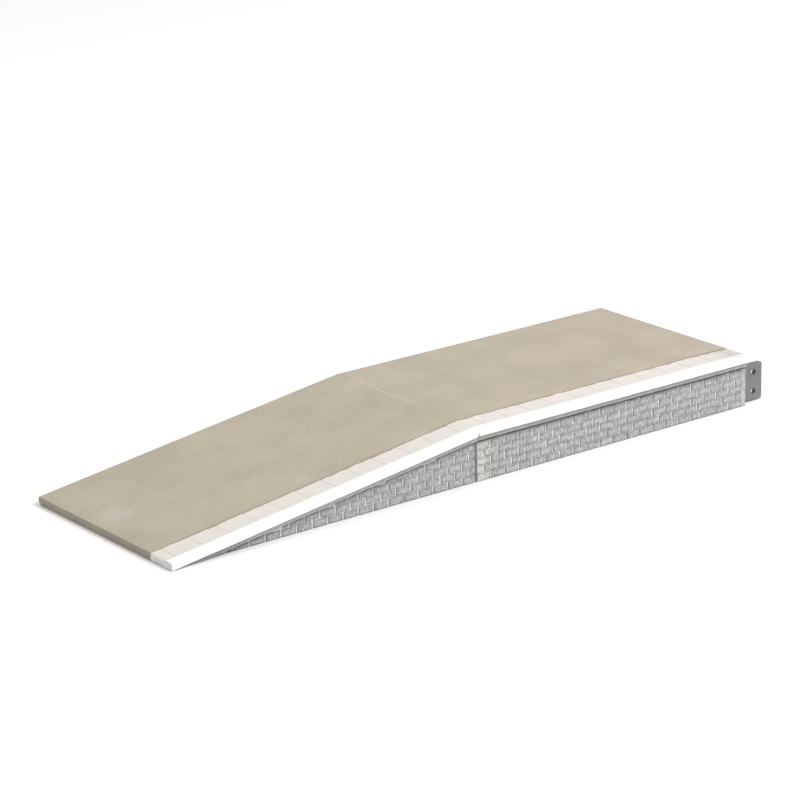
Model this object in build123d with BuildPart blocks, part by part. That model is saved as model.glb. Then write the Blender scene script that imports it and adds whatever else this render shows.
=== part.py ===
from build123d import *
import os

# A platform ramp for a 2 mm scale (N gauge, 1:148) model railway, as a glued polystyrene kit.
# A sloping half climbs from the toe to the crest, and a level half, the landing, runs on from
# there to the next platform section. Stone-faced walls stand along both long sides, cross
# formers hold them apart, and flagged copings and plain decks lie on top.
#
# X runs up the ramp, from the toe to the landing. Y runs from the front (the track side, with
# the coping) to the back. Z is up. The origin is the centre of the footprint, on the ground.

# Overall sizes, in millimetres
ramp_length = 66.5
landing_length = 66.5
platform_width = 43.2
platform_height = 10.4
toe_height = 1.5

# Decks
deck_thickness = 1.1
deck_step = 0.1              # the decks stand this much above the copings

# Copings, moulded as a row of flagstones with a deep front edge
coping_width = 6.65
coping_thickness = 1.3
white_line_width = 1.85      # the painted edge, where the joints between flags are filled
slab_length = 5.6
slab_joint_width = 0.15
slab_joint_depth = 0.12
nosing_radius = 0.15
mitre_gap_width = 0.3        # the open corner where the two front edges meet at the crest
mitre_gap_height = 0.8
mitre_gap_depth = 0.5

# Stone-faced walls
wall_setback = 1.0           # from the edge of the platform to the faces of the stones
wall_plate = 1.0             # moulding thickness behind the mortar joints
stone_relief = 0.15
course_height = 1.5
stone_length = 3.325
bed_joint = 0.16
head_joint = 0.3
band_reveal = 0.6            # from the edge of the platform to the string course
band_height = 1.0            # of the front walls' string course
landing_groove = 0.5         # least shadow gap between the stones and the string course
ramp_groove = 0.35
ramp_wall_step = 0.12        # the ramp walls' faces lie this much behind the landing walls'
end_margin = 1.2             # smooth strip at the joining end of each landing wall
least_stone = 0.35           # stones cut thinner than this by the slope are left out

# Cross formers and their locating ribs on the walls
former_thickness = 1.0
toe_strip_width = 3.0
rib_width = 0.6
rib_depth = 0.6
rib_drop = 0.8               # the ribs stop this far under the wall's top
least_rib = 1.0              # shorter ribs are left out
former_clearance = 0.05

# Joiner plates, which hold the next platform section
joiner_reach = 5.4           # each way from the end of the landing
joiner_thickness = 1.0
joiner_lift = 0.2
joiner_headroom = 1.4        # from the plate's top to the underside of the coping
joiner_corner = 0.4
hole_diameter = 1.2
hole_from_end = 3.2
hole_pitch = 3.9
peg_clearance = 0.05         # round each peg, on the radius
peg_shortness = 0.1          # the pegs stop this far short of the plate's inner face

# Levels and places that follow from the sizes
toe_x = -(ramp_length + landing_length + joiner_reach) / 2
crest_x = toe_x + ramp_length
end_x = crest_x + landing_length
front_y = -platform_width / 2
back_y = platform_width / 2
coping_back_y = front_y + coping_width
coping_top = platform_height - deck_step
coping_under = coping_top - coping_thickness
deck_under = platform_height - deck_thickness
band_under = coping_under - band_height
course_count = int((band_under - landing_groove) / course_height + 1e-6)
slope = (platform_height - toe_height) / ramp_length
inner_y = platform_width / 2 - wall_setback - stone_relief - wall_plate
joiner_height = coping_under - joiner_lift - joiner_headroom
joiner_middle = joiner_lift + joiner_height / 2
former_places = [crest_x + share * landing_length for share in (1 / 3, 2 / 3)]
former_places += [crest_x - share * ramp_length for share in (0, 1 / 3, 2 / 3)]

front, back = -1, 1

os.makedirs("parts", exist_ok=True)


def level_at(level, x):
    """The height at x of a surface that lies at the given level on the landing."""
    return level - slope * max(0.0, crest_x - x)


def falling_line(level, x_from, x_to):
    """Points in XZ along a line that follows the platform's fall, kept above the ground."""
    stops = [x_from, x_to]
    stops += [x for x in (crest_x - level / slope, crest_x) if x_from < x < x_to]
    return [(x, max(0.0, level_at(level, x))) for x in sorted(stops)]


def outline(x_from, x_to, top, bottom=0.0):
    """Corners in XZ between two lines that follow the fall, or down to the ground."""
    lower = falling_line(bottom, x_from, x_to) if bottom > 0 else [(x_from, 0), (x_to, 0)]
    return falling_line(top, x_from, x_to) + lower[::-1]


def save(piece, name):
    """Names a finished piece and writes its STEP file."""
    piece.part.label = name
    export_step(piece.part, f"parts/{name}.step")
    print(name, round(piece.part.volume, 3), "mm3")


def deck(x_from, x_to):
    """A plain plate from the coping to the back edge."""
    with BuildPart() as plate:
        with BuildSketch(Plane.XZ.offset(-coping_back_y)):
            with BuildLine():
                Polyline(*outline(x_from, x_to, platform_height, deck_under), close=True)
            make_face()
        extrude(amount=-(back_y - coping_back_y))
    return plate


def coping(x_from, x_to, open_corner=False):
    """A flagged edging: a plate with a rounded nosing and a shallow joint between flags.
    An open corner is a small gap low on the front edge, where its end meets the next coping."""
    with BuildPart() as edging:
        with BuildSketch(Plane.XZ.offset(-front_y)):
            with BuildLine():
                Polyline(*outline(x_from, x_to, coping_top, coping_under), close=True)
            make_face()
        extrude(amount=-coping_width)
        front_face = edging.faces().sort_by(Axis.Y)[0]
        long_edges = front_face.edges().sort_by(SortBy.LENGTH)[-2:]
        fillet(long_edges.sort_by(Axis.Z)[-1], radius=nosing_radius)
        # the joints start half a flag from the crest, so that one flag bridges it
        along = slab_length / 2
        while along + slab_joint_width < x_to - x_from:
            joint_x = crest_x + along if x_from >= crest_x else crest_x - along
            sides = (joint_x - slab_joint_width / 2, joint_x + slab_joint_width / 2)
            with BuildSketch(Plane.XZ.offset(-(front_y + white_line_width))):
                with BuildLine():
                    floor = coping_top - slab_joint_depth
                    Polyline(*outline(*sides, coping_top + deck_step, floor), close=True)
                make_face()
            extrude(amount=-(coping_width - white_line_width), mode=Mode.SUBTRACT)
            along += slab_length
        if open_corner:
            gap_start = (x_to - mitre_gap_width, level_at(coping_under, x_to - mitre_gap_width))
            with BuildSketch(Plane.XZ.offset(-front_y)):
                with BuildLine():
                    corner_top = (x_to, coping_under + mitre_gap_height)
                    Polyline((x_to, coping_under), corner_top, gap_start, close=True)
                make_face()
            extrude(amount=-mitre_gap_depth, mode=Mode.SUBTRACT)
    return edging


def stone_outline(left, right, bottom, top, limit):
    """Corners of one stone, cut by the falling line at the given level, or None if too small."""
    if level_at(limit, right) - bottom < least_stone:
        return None
    if level_at(limit, left) - bottom < least_stone:
        left = crest_x - (limit - bottom - least_stone) / slope
    if right - left < least_stone:
        return None
    corners = [(right, bottom), (left, bottom), (left, min(top, level_at(limit, left)))]
    if level_at(limit, left) < top < level_at(limit, right):
        corners.append((crest_x - (limit - top) / slope, top))
    corners.append((right, min(top, level_at(limit, right))))
    return corners


def stones(x_from, x_to, limit):
    """Outlines of the coursed stones between two ends, with every second course half a stone on."""
    count = round((x_to - x_from) / stone_length)
    pitch = (x_to - x_from) / count
    outlines = []
    for course in range(course_count):
        shift = 0 if course % 2 == 0 else pitch / 2
        starts = [x_from + shift + number * pitch for number in range(count)]
        if shift:
            starts = [x_from] + starts
        for number, start in enumerate(starts):
            stop = starts[number + 1] if number + 1 < len(starts) else x_to
            left = start + (head_joint / 2 if number else 0)
            right = stop - (head_joint / 2 if stop < x_to else 0)
            bottom = course * course_height + (bed_joint / 2 if course else 0)
            top = (course + 1) * course_height - bed_joint / 2
            outlines.append(stone_outline(left, right, bottom, top, limit))
    return [corners for corners in outlines if corners]


def stone_wall(x_from, x_to, side, top, groove, step):
    """A wall moulding: plate, string course, stones, and locating ribs on its inner face."""
    joint_depth = wall_setback + step + stone_relief
    joint_plane = Plane.XZ.offset(-side * (platform_width / 2 - joint_depth))
    inner_plane = Plane.XZ.offset(-side * inner_y)
    joins = x_to == end_x
    stone_end = x_to - end_margin if joins else x_to
    with BuildPart() as wall:
        with BuildSketch(joint_plane):
            with BuildLine():
                Polyline(*outline(x_from, x_to, top), close=True)
            make_face()
        extrude(amount=side * (wall_plate - step))
        with BuildSketch(joint_plane):
            with BuildLine():
                Polyline(*outline(x_from, x_to, top, band_under), close=True)
            make_face()
        extrude(amount=-side * (joint_depth - band_reveal))
        with BuildSketch(joint_plane):
            for corners in stones(x_from, stone_end, band_under - groove):
                with BuildLine():
                    Polyline(*corners, close=True)
                make_face()
            if joins:
                margin_height = course_count * course_height - bed_joint / 2
                with Locations((x_to - end_margin / 2, margin_height / 2)):
                    Rectangle(end_margin, margin_height)
        extrude(amount=-side * stone_relief)
        with BuildSketch(inner_plane):
            for place in former_places:
                gap = former_thickness / 2 + former_clearance
                for rib_x in (place - gap - rib_width / 2, place + gap + rib_width / 2):
                    low_side = rib_x - rib_width / 2
                    height = level_at(top, low_side) - rib_drop
                    if x_from < low_side and rib_x + rib_width / 2 < x_to and height > least_rib:
                        with Locations((rib_x, height / 2)):
                            Rectangle(rib_width, height)
        extrude(amount=side * rib_depth)
        if joins:
            with BuildSketch(inner_plane):
                with Locations((x_to - hole_from_end, joiner_middle)):
                    with GridLocations(1, hole_pitch, 1, 2):
                        Circle(hole_diameter / 2 - peg_clearance)
            extrude(amount=side * (joiner_thickness - peg_shortness))
    return wall


def cross_former(x_middle, notched=False):
    """A plate across the platform, cut to the undersides of the coping and the deck.
    Notches in its two lower corners clear the joiner plates."""
    sides = (x_middle - former_thickness / 2, x_middle + former_thickness / 2)
    with BuildPart() as plate:
        with BuildSketch(Plane.XZ.offset(inner_y)):
            with BuildLine():
                Polyline(*outline(*sides, coping_under), close=True)
            make_face()
        extrude(amount=-(inner_y + coping_back_y))
        with BuildSketch(Plane.XZ.offset(-coping_back_y)):
            with BuildLine():
                Polyline(*outline(*sides, deck_under), close=True)
            make_face()
        extrude(amount=-(inner_y - coping_back_y))
        if notched:
            notch_depth = joiner_thickness + former_clearance
            notch_height = joiner_lift + joiner_height + former_clearance
            for side in (front, back):
                with Locations((x_middle, side * (inner_y - notch_depth / 2), notch_height / 2)):
                    Box(former_thickness, notch_depth, notch_height, mode=Mode.SUBTRACT)
    return plate


def toe_strip():
    """A strip that fills the gap between the ramp's deck and the ground at the toe."""
    with BuildPart() as strip:
        with BuildSketch(Plane.XZ.offset(-coping_back_y)):
            with BuildLine():
                Polyline(*outline(toe_x, toe_x + toe_strip_width, deck_under), close=True)
            make_face()
        extrude(amount=-(inner_y - coping_back_y))
    return strip


def joiner(side):
    """A plate with two pairs of peg holes: one for this section, one for the next."""
    with BuildPart() as plate:
        with BuildSketch(Plane.XZ.offset(-side * inner_y)) as face:
            with Locations((end_x, joiner_middle)):
                Rectangle(2 * joiner_reach, joiner_height)
            fillet(face.vertices(), radius=joiner_corner)
            with Locations((end_x, joiner_middle)):
                with GridLocations(2 * hole_from_end, hole_pitch, 2, 2):
                    Circle(hole_diameter / 2, mode=Mode.SUBTRACT)
        extrude(amount=side * joiner_thickness)
    return plate


# The two decks meet at the crest.
save(deck(toe_x, crest_x), "ramp_deck")
save(deck(crest_x, end_x), "landing_deck")

# The two copings meet there too, and their front edges leave a small open corner.
save(coping(toe_x, crest_x, open_corner=True), "ramp_coping")
save(coping(crest_x, end_x), "landing_coping")

# The front walls carry the copings, and the back walls carry the decks.
for side, name, top in ((front, "front", coping_under), (back, "back", deck_under)):
    save(stone_wall(toe_x, crest_x, side, top, ramp_groove, ramp_wall_step), f"{name}_ramp_wall")
    save(stone_wall(crest_x, end_x, side, top, landing_groove, 0), f"{name}_landing_wall")
    save(joiner(side), f"{name}_joiner")

# The toe strip closes the low end, flush with the deck.
save(toe_strip(), "toe_strip")

# The formers stand between the walls.
names = ("landing_former_inner", "landing_former_outer", "crest_former")
names += ("ramp_former_high", "ramp_former_low")
for name, place in zip(names, former_places):
    save(cross_former(place), name)

# The end former is flush with the joining end and notched round the joiner plates.
save(cross_former(end_x - former_thickness / 2, notched=True), "end_former")
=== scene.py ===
# %% [markdown]
# # A platform ramp for a 2 mm scale model railway
#
# The real thing is a kit of thin polystyrene mouldings, about 14 cm long when it is glued up.
# A sloping half climbs from the toe to the crest, and a level half, the landing, runs on to the
# next platform section. Plain decks and a flagged coping lie on four stone-faced walls, and two
# joiner plates reach out of the far end.
#
# The CAD model already fixes every size and place. This file makes the looks around it: each
# moulding is built again with softened edges, stones that differ from one another, and paint.

# %% Load the fixed frame
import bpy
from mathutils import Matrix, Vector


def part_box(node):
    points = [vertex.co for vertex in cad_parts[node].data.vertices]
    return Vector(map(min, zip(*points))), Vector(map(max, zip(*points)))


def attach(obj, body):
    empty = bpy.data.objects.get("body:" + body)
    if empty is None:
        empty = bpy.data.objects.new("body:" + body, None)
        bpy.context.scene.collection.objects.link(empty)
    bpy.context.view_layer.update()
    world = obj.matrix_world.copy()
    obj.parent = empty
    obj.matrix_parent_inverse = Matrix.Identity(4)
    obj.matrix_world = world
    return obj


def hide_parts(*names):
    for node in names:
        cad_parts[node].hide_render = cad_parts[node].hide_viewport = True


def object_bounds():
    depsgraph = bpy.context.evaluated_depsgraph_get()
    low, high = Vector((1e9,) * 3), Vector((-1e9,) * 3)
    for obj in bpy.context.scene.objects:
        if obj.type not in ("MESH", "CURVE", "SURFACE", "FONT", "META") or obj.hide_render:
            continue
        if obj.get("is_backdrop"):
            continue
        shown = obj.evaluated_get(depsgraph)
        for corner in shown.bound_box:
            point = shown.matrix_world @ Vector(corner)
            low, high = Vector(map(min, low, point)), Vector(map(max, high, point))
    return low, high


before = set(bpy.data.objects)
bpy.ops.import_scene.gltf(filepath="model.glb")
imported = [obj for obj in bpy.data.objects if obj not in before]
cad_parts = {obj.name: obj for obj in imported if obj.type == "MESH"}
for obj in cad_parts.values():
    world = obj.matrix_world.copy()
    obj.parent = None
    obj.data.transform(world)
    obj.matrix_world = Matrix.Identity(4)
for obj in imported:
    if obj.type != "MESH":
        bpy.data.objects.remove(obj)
cad_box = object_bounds()
print("nodes in the frame:", len(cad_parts))

# %% Blender's own modules
import math
import bpy
import bmesh
from mathutils import Vector, noise

mm = 0.001

# %% [markdown]
# ## Places taken from the frame
#
# Nothing is measured twice. The decks give the top, the crest and the fall of the ramp, the
# copings give the front edge, and the joiner plates give the inner faces of the walls.

# %% Levels and places
landing_low, landing_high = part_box("landing_deck")
ramp_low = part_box("ramp_deck")[0]
coping_low, coping_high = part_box("landing_coping")
joiner_low, joiner_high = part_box("front_joiner")
band_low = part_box("front_landing_wall")[0]

toe_x = ramp_low.x
crest_x = landing_low.x
end_x = landing_high.x
platform_top = landing_high.z
deck_under = landing_low.z
coping_top = coping_high.z
coping_under = coping_low.z
front_y = coping_low.y
back_y = landing_high.y
coping_back_y = coping_high.y
inner_y = -joiner_low.y
band_y = -band_low.y
toe_top = ramp_low.z + platform_top - deck_under
slope = (platform_top - toe_top) / (crest_x - toe_x)
print("fall of the ramp: 1 in", round(1 / slope, 1))
print("length", round((end_x - toe_x) / mm, 1), "mm, height", round(platform_top / mm, 1), "mm")

# %% [markdown]
# ## Helpers for nodes and colours
#
# A material and a Geometry Nodes tree are both made of nodes, so one small function serves both.
# It adds a node, gives it its settings, and fills or links its inputs. Four kinds of node come
# again and again, and have a shorter call each. Colours are written as the sRGB hex values that
# a painter would mix, and one function turns them to linear light.

# %% Helpers for nodes and colours
def add(tree, kind, inputs=(), **settings):
    """Adds a node. inputs is a list, or a dict by name or number, of values, sockets or nodes."""
    node = tree.nodes.new(kind)
    for name, value in settings.items():
        setattr(node, name, value)
    for key, value in (inputs.items() if isinstance(inputs, dict) else enumerate(inputs)):
        if isinstance(value, bpy.types.Node):
            value = next(socket for socket in value.outputs if socket.enabled)
        if isinstance(value, bpy.types.NodeSocket):
            tree.links.new(value, node.inputs[key])
        else:
            node.inputs[key].default_value = value
    return node


def linear(hex_colour):
    """sRGB hex to linear RGBA."""
    channels = [int(hex_colour[i:i + 2], 16) / 255 for i in (1, 3, 5)]
    return [c / 12.92 if c <= 0.04045 else ((c + 0.055) / 1.055) ** 2.4 for c in channels] + [1.0]


# %% Short calls for the nodes that come most often
NOISE = "ShaderNodeTexNoise"
VECTOR_MATH = "ShaderNodeVectorMath"


def calc(tree, operation, *inputs):
    """One sum on numbers."""
    return add(tree, "ShaderNodeMath", inputs, operation=operation)


def remap(tree, value, from_low, from_high, to_low=0.0, to_high=1.0):
    """Carries a value from one range to another, and holds it inside the second."""
    return add(tree, "ShaderNodeMapRange", [value, from_low, from_high, to_low, to_high])


def mix(tree, share, first, second):
    """The colour that lies a share of the way from the first to the second."""
    first, second = [linear(c) if isinstance(c, str) else c for c in (first, second)]
    return add(tree, "ShaderNodeMix", {0: share, 6: first, 7: second}, data_type="RGBA").outputs[2]


def split(tree, place):
    """The X, Y and Z of a place."""
    return add(tree, "ShaderNodeSeparateXYZ", [place]).outputs


# %% [markdown]
# ## Camera, floor and light
#
# The camera stands to the left of the front and a little above, with a long lens, as in a
# catalogue picture. It leans by a degree and a half. The light is a large soft lamp from the
# front right, a broad one overhead and a pale room. Faces that look towards the toe get the
# least of it.

# %% Camera
view_azimuth = math.radians(-37.069)      # 0 looks along +Y
view_elevation = math.radians(18.194)
view_roll = math.radians(1.350)
view_distance = 564.5 * mm
lens = 136.42
sensor_width = 36.0
near_clip = 10 * mm
aim_offset = Vector((-1.001, 4.179, 3.926)) * mm      # from the middle of the part
aim = (cad_box[0] + cad_box[1]) / 2 + aim_offset

forward = Vector((
    -math.sin(view_azimuth) * math.cos(view_elevation),
    math.cos(view_azimuth) * math.cos(view_elevation),
    -math.sin(view_elevation),
))
camera = bpy.data.objects.new("camera", bpy.data.cameras.new("camera"))
camera.data.lens = lens
camera.data.sensor_width = sensor_width
camera.data.clip_start = near_clip
camera.rotation_euler = forward.to_track_quat("-Z", "Y").to_euler()
camera.rotation_euler.rotate_axis("Z", -view_roll)
camera.location = aim - forward * view_distance
bpy.context.scene.collection.objects.link(camera)
bpy.context.scene.camera = camera
print("camera at", [round(v / mm, 1) for v in camera.location], "mm")

# %% Floor
floor_reach = 3.0
floor_mesh = bpy.data.meshes.new("floor")
floor_signs = ((-1, -1), (1, -1), (1, 1), (-1, 1))
floor_corners = [(x * floor_reach, y * floor_reach, 0) for x, y in floor_signs]
floor_mesh.from_pydata(floor_corners, [], [(0, 1, 2, 3)])
floor = bpy.data.objects.new("floor", floor_mesh)
bpy.context.scene.collection.objects.link(floor)
floor_paint = bpy.data.materials.new("pale_card")
floor_paint.use_nodes = True
floor_shader = floor_paint.node_tree.nodes["Principled BSDF"]
floor_shader.inputs["Base Color"].default_value = linear("#FAFAFA")
floor_shader.inputs["Roughness"].default_value = 0.9
floor.data.materials.append(floor_paint)
floor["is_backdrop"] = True

# %% Light
room_strength = 0.6
bpy.context.scene.view_settings.view_transform = "Standard"
room = bpy.data.worlds.new("pale_room")
room.use_nodes = True
background = room.node_tree.nodes["Background"]
background.inputs["Color"].default_value = linear("#FFFFFF")
background.inputs["Strength"].default_value = room_strength
bpy.context.scene.world = room


def soft_lamp(name, towards, distance, width, power):
    """A square lamp that faces the middle of the platform."""
    lamp = bpy.data.objects.new(name, bpy.data.lights.new(name, "AREA"))
    lamp.data.size = width
    lamp.data.energy = power
    direction = Vector(towards).normalized()
    lamp.location = direction * distance
    lamp.rotation_euler = direction.to_track_quat("Z", "Y").to_euler()
    bpy.context.scene.collection.objects.link(lamp)
    print(name, "at", [round(v, 2) for v in lamp.location], "m")


soft_lamp("key", towards=(0.45, -0.62, 0.75), distance=1.2, width=0.6, power=10.0)
soft_lamp("overhead", towards=(0.1, 0.15, 1.0), distance=1.4, width=1.2, power=4.0)

# %% [markdown]
# ## Finishes
#
# Everything is injection-moulded polystyrene. Bare, it is a satin grey plastic that bends light
# more than paint does. What shows is painted with matt acrylic: thin, brushed by hand, a little
# uneven, with the mortar joints filled by a pale wash that ran into them.

# %% A shared start for every finish
plastic_ior = 1.59
paint_ior = 1.5
noise_low, noise_high = 0.3, 0.7      # nearly all of a noise texture lies between these


def begin(name, roughness, ior=paint_ior):
    """A new node material: the material, its tree, its shader, and Object coordinates."""
    material = bpy.data.materials.new(name)
    material.use_nodes = True
    tree = material.node_tree
    shader = tree.nodes["Principled BSDF"]
    shader.inputs["Roughness"].default_value = roughness
    shader.inputs["IOR"].default_value = ior
    place = add(tree, "ShaderNodeTexCoord").outputs["Object"]
    return material, tree, shader, place


def fleck(tree, place, size, low, high, detail=3.0):
    """Noise with features of that size, as a number that runs from low to high."""
    grain = add(tree, NOISE, {"Vector": place, "Scale": 1 / size, "Detail": detail})
    return remap(tree, grain, noise_low, noise_high, low, high)


def coat(tree, shader, colour, shades, height, relief):
    """Darkens the colour by each shade in turn and gives the surface a relief in metres."""
    for shade in shades:
        colour = add(tree, VECTOR_MATH, {0: colour, "Scale": shade}, operation="SCALE")
        colour = colour.outputs[0]
    tree.links.new(colour, shader.inputs["Base Color"])
    bump = add(tree, "ShaderNodeBump", {"Strength": 1.0, "Distance": relief, "Height": height})
    tree.links.new(bump.outputs[0], shader.inputs["Normal"])


# %% [markdown]
# ### Deck paint
#
# Matt warm grey acrylic, brushed across the moulding. Two close mixes of it, one greener and
# one pinker, meet in soft clouds. The brush hairs left fine streaks that run slantwise. Painted
# shade darkens the edge along the gap next to the coping. The back edge and the cut end at the
# toe are darker. Near the toe a spot has been rubbed pale by handling. At the crest a thin pale
# line of painted light runs along the seam between the two decks, where their rounded edges
# make a shaded groove.

# %% Deck paint
def make_deck_paint():
    material, tree, shader, place = begin("matt_acrylic_deck_paint", 0.8)
    clouds = fleck(tree, place, 17 * mm, 0.0, 1.0)
    axes = split(tree, place)
    along = remap(tree, axes["X"], crest_x, end_x, -0.25, 0.45)
    warmth = calc(tree, "ADD", clouds, along)
    base = mix(tree, warmth, "#B0A895", "#B4A898")
    rubbed_spot = Vector((toe_x + 5 * mm, 4 * mm, toe_top))
    away = add(tree, VECTOR_MATH, [place, rubbed_spot], operation="DISTANCE")
    uneven = fleck(tree, place, 2 * mm, -1.2 * mm, 1.2 * mm)
    away = calc(tree, "ADD", away.outputs["Value"], uneven)
    rubbed = remap(tree, away, 1 * mm, 4.5 * mm, 0.6, 0.0)
    base = mix(tree, rubbed, base, "#BDB4A9")
    # Painted light: a thin pale line along the seam between the decks cancels the shade in the
    # groove their rounded edges make; it fades out towards the back.
    from_seam = calc(tree, "SUBTRACT", axes["X"], crest_x)
    from_seam = calc(tree, "ABSOLUTE", from_seam)
    at_seam = remap(tree, from_seam, 0.06 * mm, 0.2 * mm, 0.75, 0.0)
    seam_light_reach = remap(tree, axes["Y"], 14 * mm, 18 * mm, 1.0, 0.0)
    seam_light_strength = remap(tree, axes["Y"], -7 * mm, -1 * mm, 0.4, 1.0)
    for share in (seam_light_reach, seam_light_strength, fleck(tree, place, 1.5 * mm, 0.5, 1.2)):
        at_seam = calc(tree, "MULTIPLY", at_seam, share)
    base = mix(tree, at_seam, base, "#D8CFC2")
    patches = fleck(tree, place, 9 * mm, 0.925, 1.055, 4.0)
    slant = add(tree, "ShaderNodeMapping", {
        "Vector": place,
        "Rotation": (0, 0, math.radians(-48)),
        "Scale": (0.12, 1, 1),
    })
    streaks = fleck(tree, slant, 0.7 * mm, 0.97, 1.025)
    grain = fleck(tree, place, 0.4 * mm, 0.975, 1.025, 2.0)
    ragged = fleck(tree, place, 1.5 * mm, -0.1 * mm, 0.1 * mm)
    side_y = calc(tree, "ADD", axes["Y"], ragged)
    # Painted shade: darker along the deck's edge at the gap next to the coping.
    painted_gap_shade = remap(tree, side_y, coping_back_y + 0.1 * mm, coping_back_y + 0.4 * mm, 0.88, 1.0)
    back_edge = remap(tree, side_y, back_y - 0.35 * mm, back_y - 0.1 * mm, 1.0, 0.8)
    cut_end = remap(tree, axes["X"], toe_x + 0.02 * mm, toe_x + 0.1 * mm, 0.78, 1.0)
    shades = (patches, streaks, grain, painted_gap_shade, back_edge, cut_end)
    height = calc(tree, "ADD", streaks, grain)
    coat(tree, shader, base, shades, height, 0.4 * mm)
    gloss = fleck(tree, place, 6 * mm, 0.72, 0.88)
    tree.links.new(gloss.outputs[0], shader.inputs["Roughness"])
    return material


deck_paint = make_deck_paint()
print("made", deck_paint.name)

# %% [markdown]
# ### Coping paint
#
# The flags are a pale stone colour, a little pinker towards the deck. Light and shade are
# painted along the tool furrows that run across them, most near the toe. The front edge is a
# hard white line painted over them, as on a real platform. Its inner border was cut in by hand,
# so it wanders a little. Deck paint crept over the back edge, most of all at the joining end. The
# end at the toe was cut roughly and is greyer.

# %% Coping paint
white_line_width = 1.85 * mm
line_wander = 0.06 * mm
furrow = 0.4 * mm


def make_coping_paint():
    material, tree, shader, place = begin("matt_acrylic_flag_and_line_paint", 0.72)
    tone = add(tree, "ShaderNodeAttribute", attribute_name="tone").outputs["Fac"]
    axes = split(tree, place)
    inward = remap(tree, axes["Y"], front_y + white_line_width, coping_back_y, -0.2, 0.7)
    pinker = calc(tree, "MULTIPLY_ADD", tone, 0.4, inward)
    flag = mix(tree, pinker, "#D7D6D0", "#E1D6CE")
    wander = fleck(tree, place, 2.5 * mm, -line_wander, line_wander)
    border = calc(tree, "ADD", axes["Y"], wander)
    line_y = front_y + white_line_width
    white = remap(tree, border, line_y + 0.05 * mm, line_y - 0.05 * mm)
    base = mix(tree, white, flag, "#F6F6F3")
    crept = fleck(tree, place, 2.5 * mm, -0.2 * mm, 0.4 * mm)
    at_end = remap(tree, axes["X"], end_x - 12 * mm, end_x, 0.0, 0.35 * mm)
    rim_y = calc(tree, "ADD", axes["Y"], crept)
    rim_y = calc(tree, "ADD", rim_y, at_end)
    rim = remap(tree, rim_y, coping_back_y - 0.2 * mm, coping_back_y - 0.08 * mm)
    base = mix(tree, rim, base, "#AEA596")
    # Darker towards the joining end.
    darker_joining_end = remap(tree, axes["X"], end_x - 7 * mm, end_x - 2 * mm, 1.0, 0.84)
    toe_end = remap(tree, axes["X"], toe_x + 0.1 * mm, toe_x + 0.02 * mm, 0.0, 1.0)
    rough_cut = fleck(tree, place, 0.9 * mm, 0.0, 1.0, 2.0)
    cut = mix(tree, rough_cut, "#CDC8C8", "#EAE6E6")
    base = mix(tree, toe_end, base, cut)
    # Painted light and shade along the tool furrows, strongest near the toe.
    turn = calc(tree, "MULTIPLY", axes["X"], 2 * math.pi / furrow)
    wave = calc(tree, "SINE", turn)
    furrow_shading = remap(tree, axes["X"], toe_x, crest_x, 0.03, 0.008)
    worn = fleck(tree, place, 1.3 * mm, 0.2, 1.2)
    furrow_shading = calc(tree, "MULTIPLY", furrow_shading, worn)
    plain = calc(tree, "SUBTRACT", 1.0, white)
    furrow_shading = calc(tree, "MULTIPLY", furrow_shading, plain)
    wash = calc(tree, "MULTIPLY_ADD", wave, furrow_shading, 1.0)
    patches = fleck(tree, place, 3 * mm, 0.97, 1.02)
    grain = fleck(tree, place, 0.3 * mm, 0.98, 1.015)
    height = calc(tree, "ADD", patches, grain)
    coat(tree, shader, base, (patches, grain, wash, darker_joining_end), height, 0.3 * mm)
    gloss = remap(tree, white, 0.0, 1.0, 0.78, 0.5)
    tree.links.new(gloss.outputs[0], shader.inputs["Roughness"])
    return material


coping_paint = make_coping_paint()
print("made", coping_paint.name)

# %% [markdown]
# ### Stone paint and mortar wash
#
# The stones were painted a mid grey and then dabbed with a nearly dry brush, which left them
# mottled. Painted shade makes them paler in the middle and darker round their rims. A thin pale
# wash ran into the joints and stayed there. The groove under the string course is painted dark
# as painted shadow, and the stones just under it carry painted shade. The ramp walls carry
# painted shade where they end at the crest seam and where they run out at the toe, and all
# walls carry a painted contact shadow along the foot. The landing's first stones caught some of
# the deck's paint, and the dry brush left pale upright streaks on its stones.

# %% Painted shade at the crest seam
seam_reach = 0.7 * mm         # the shade starts this far from the crest
seam_full = 0.1 * mm


def painted_seam_shade(tree, place):
    """Painted shade: 1 on the walls, less on the ramp walls just before the crest, where the seam
    between the walls lies in shade.
    """
    axes = split(tree, place)
    ragged = fleck(tree, place, 0.6 * mm, -0.15 * mm, 0.15 * mm)
    along = calc(tree, "ADD", axes["X"], ragged)
    near = remap(tree, along, crest_x - seam_reach, crest_x - seam_full, 0.0, 0.5)
    before = calc(tree, "LESS_THAN", axes["X"], crest_x)
    dark = calc(tree, "MULTIPLY", near, before)
    return calc(tree, "SUBTRACT", 1.0, dark)


# %% Painted shade where the walls run out, and along their foot
def painted_toe_shade(tree, place):
    """Painted shade: 1 on the walls, less towards the thin low end, which lies in shade under the
    coping near the ground.
    """
    axes = split(tree, place)
    return remap(tree, axes["X"], toe_x, toe_x + 18 * mm, 0.55, 1.0)


def painted_contact_shadow(tree, place):
    """Painted contact shadow: 1 on the walls, less along the lower edge where they meet the floor.
    """
    axes = split(tree, place)
    return remap(tree, axes["Z"], 0.08 * mm, 0.26 * mm, 0.62, 1.0)


# %% Painted shadow under the string course
band_height = 1.0 * mm
band_under = coping_under - band_height


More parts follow.
